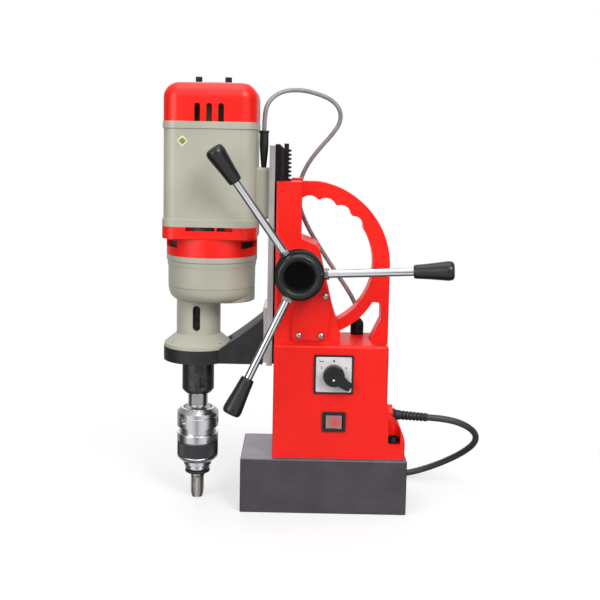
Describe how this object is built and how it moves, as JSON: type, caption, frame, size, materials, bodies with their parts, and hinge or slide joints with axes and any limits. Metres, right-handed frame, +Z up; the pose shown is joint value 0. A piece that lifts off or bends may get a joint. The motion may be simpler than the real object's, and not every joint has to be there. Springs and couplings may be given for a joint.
{
  "type": "magnetic drill press",
  "caption": "Magnetic base drill press: dovetail slide with motor, gearbox and tapping chuck on a cast column with carrying handle, fed by a rack and lever capstan.",
  "frame": {"origin": "centre of the magnet's underside, on the plate that the press stands on", "axes": "+Z up along the spindle; the operator, the levers and the switches face -Y; the spindle overhangs the -X end of the magnet"},
  "size_m": [0.4404, 0.3112, 0.5714],
  "materials": {
    "red_enamel": "gloss enamel",
    "grey_beige_paint": "satin stove enamel",
    "black_casting": "black wrinkle paint",
    "dark_ground_steel": "ground, blackened",
    "ground_steel": "surface ground",
    "blackened_steel": "black oxide",
    "tool_steel": "turned and oiled",
    "chuck_steel": "turned, satin chrome",
    "chrome": "polished chrome",
    "zinc_screws": "zinc plated",
    "laminations": "varnished laminations",
    "copper_winding": "enamelled copper",
    "brass": "machined",
    "potting_resin": "cast epoxy",
    "black_plastic": "moulded",
    "grip_plastic": "moulded phenolic",
    "switch_grey": "moulded",
    "rocker_red": "translucent",
    "circuit_board": "laminate",
    "black_rubber": "moulded",
    "grey_lead": "pvc sheath",
    "label_vinyl": "printed vinyl, blank"
  },
  "bodies": {
    "frame": {"magnet_body": "dark_ground_steel", "magnet_coils": "copper_winding", "magnet_potting": "potting_resin", "base_bolts": "blackened_steel", "column": "red_enamel", "rear_cover": "red_enamel", "feed_cover": "red_enamel", "feed_bushes": "brass", "panel_screws": "zinc_screws", "gib": "brass", "gib_screws": "blackened_steel", "cam_switch_body": "black_plastic", "cam_switch_frame": "black_plastic", "cam_switch_plate": "switch_grey", "rocker_housing": "black_plastic", "magnet_rectifier": "circuit_board", "lead_gland": "black_plastic", "cord_boot": "black_rubber", "mains_cord": "black_rubber", "cord_coil": "black_rubber", "mains_plug": "black_plastic", "plug_pins": "zinc_screws"},
    "carriage": {"slide_plate": "ground_steel", "slide_screws": "blackened_steel", "dovetail_bar": "blackened_steel", "rack": "blackened_steel", "arm_bracket": "black_casting", "flange_screws": "blackened_steel", "gearbox_housing": "grey_beige_paint", "gearbox_cover": "grey_beige_paint", "gearbox_screws": "blackened_steel", "bearings": "ground_steel", "fan_housing": "red_enamel", "motor_casing": "grey_beige_paint", "motor_cap": "red_enamel", "cap_screws": "blackened_steel", "stator": "laminations", "brush_gear": "brass", "lead_boot": "black_rubber", "motor_label": "label_vinyl", "motor_lead": "grey_lead"},
    "armature": {"armature_shaft": "tool_steel", "armature_core": "laminations", "cooling_fan": "black_plastic"},
    "idler": {"idler_gear": "tool_steel"},
    "spindle": {"spindle": "blackened_steel", "chuck_body": "chuck_steel", "clutch_ring": "chuck_steel", "sleeve_spring": "tool_steel", "tap_adapter": "chuck_steel", "adapter_seal": "black_rubber", "tap": "tool_steel"},
    "sleeve": {"quick_change_sleeve": "chuck_steel"},
    "feed": {"feed_shaft": "tool_steel", "feed_hub": "ground_steel", "hub_cap": "grip_plastic", "lever_rods": "chrome", "lever_grips": "grip_plastic"},
    "switch_knob": {"switch_knob": "black_plastic"},
    "rocker": {"rocker_button": "rocker_red"}
  },
  "joints": [
    {"name": "carriage_slide", "type": "slide", "parent": "frame", "child": "carriage", "axis": [0, 0, 1], "range_m": [-0.06, 0.12], "deforming": ["motor_lead"]},
    {"name": "feed_turn", "type": "hinge", "parent": "frame", "child": "feed", "pos_m": [-0.03694, 0, 0.3205], "axis": [0, 1, 0], "range_deg": [-235, 465]},
    {"name": "spindle_spin", "type": "hinge", "parent": "carriage", "child": "spindle", "pos_m": [-0.172, 0, 0.2], "axis": [0, 0, 1], "continuous": true},
    {"name": "idler_spin", "type": "hinge", "parent": "carriage", "child": "idler", "pos_m": [-0.1498, 0.02706, 0.3], "axis": [0, 0, 1], "continuous": true},
    {"name": "armature_spin", "type": "hinge", "parent": "carriage", "child": "armature", "pos_m": [-0.1547, 0, 0.4], "axis": [0, 0, 1], "continuous": true},
    {"name": "sleeve_slide", "type": "slide", "parent": "spindle", "child": "sleeve", "axis": [0, 0, 1], "range_m": [0, 0.007], "stiffness_N_per_m": 800, "springref_m": -0.006, "deforming": ["sleeve_spring"]},
    {"name": "switch_turn", "type": "hinge", "parent": "frame", "child": "switch_knob", "pos_m": [0.0107, -0.0515, 0.187], "axis": [0, 1, 0], "range_deg": [0, 120]},
    {"name": "rocker_tilt", "type": "hinge", "parent": "frame", "child": "rocker", "pos_m": [0.0122, -0.046, 0.1233], "axis": [0, 0, 1], "range_deg": [0, 12.4]}
  ],
  "couplings": [
    {"joint": "feed_turn", "follows": "carriage_slide", "rad_per_m": 67.227},
    {"joint": "idler_spin", "follows": "spindle_spin", "ratio": -3},
    {"joint": "armature_spin", "follows": "spindle_spin", "ratio": 10.2}
  ]
}
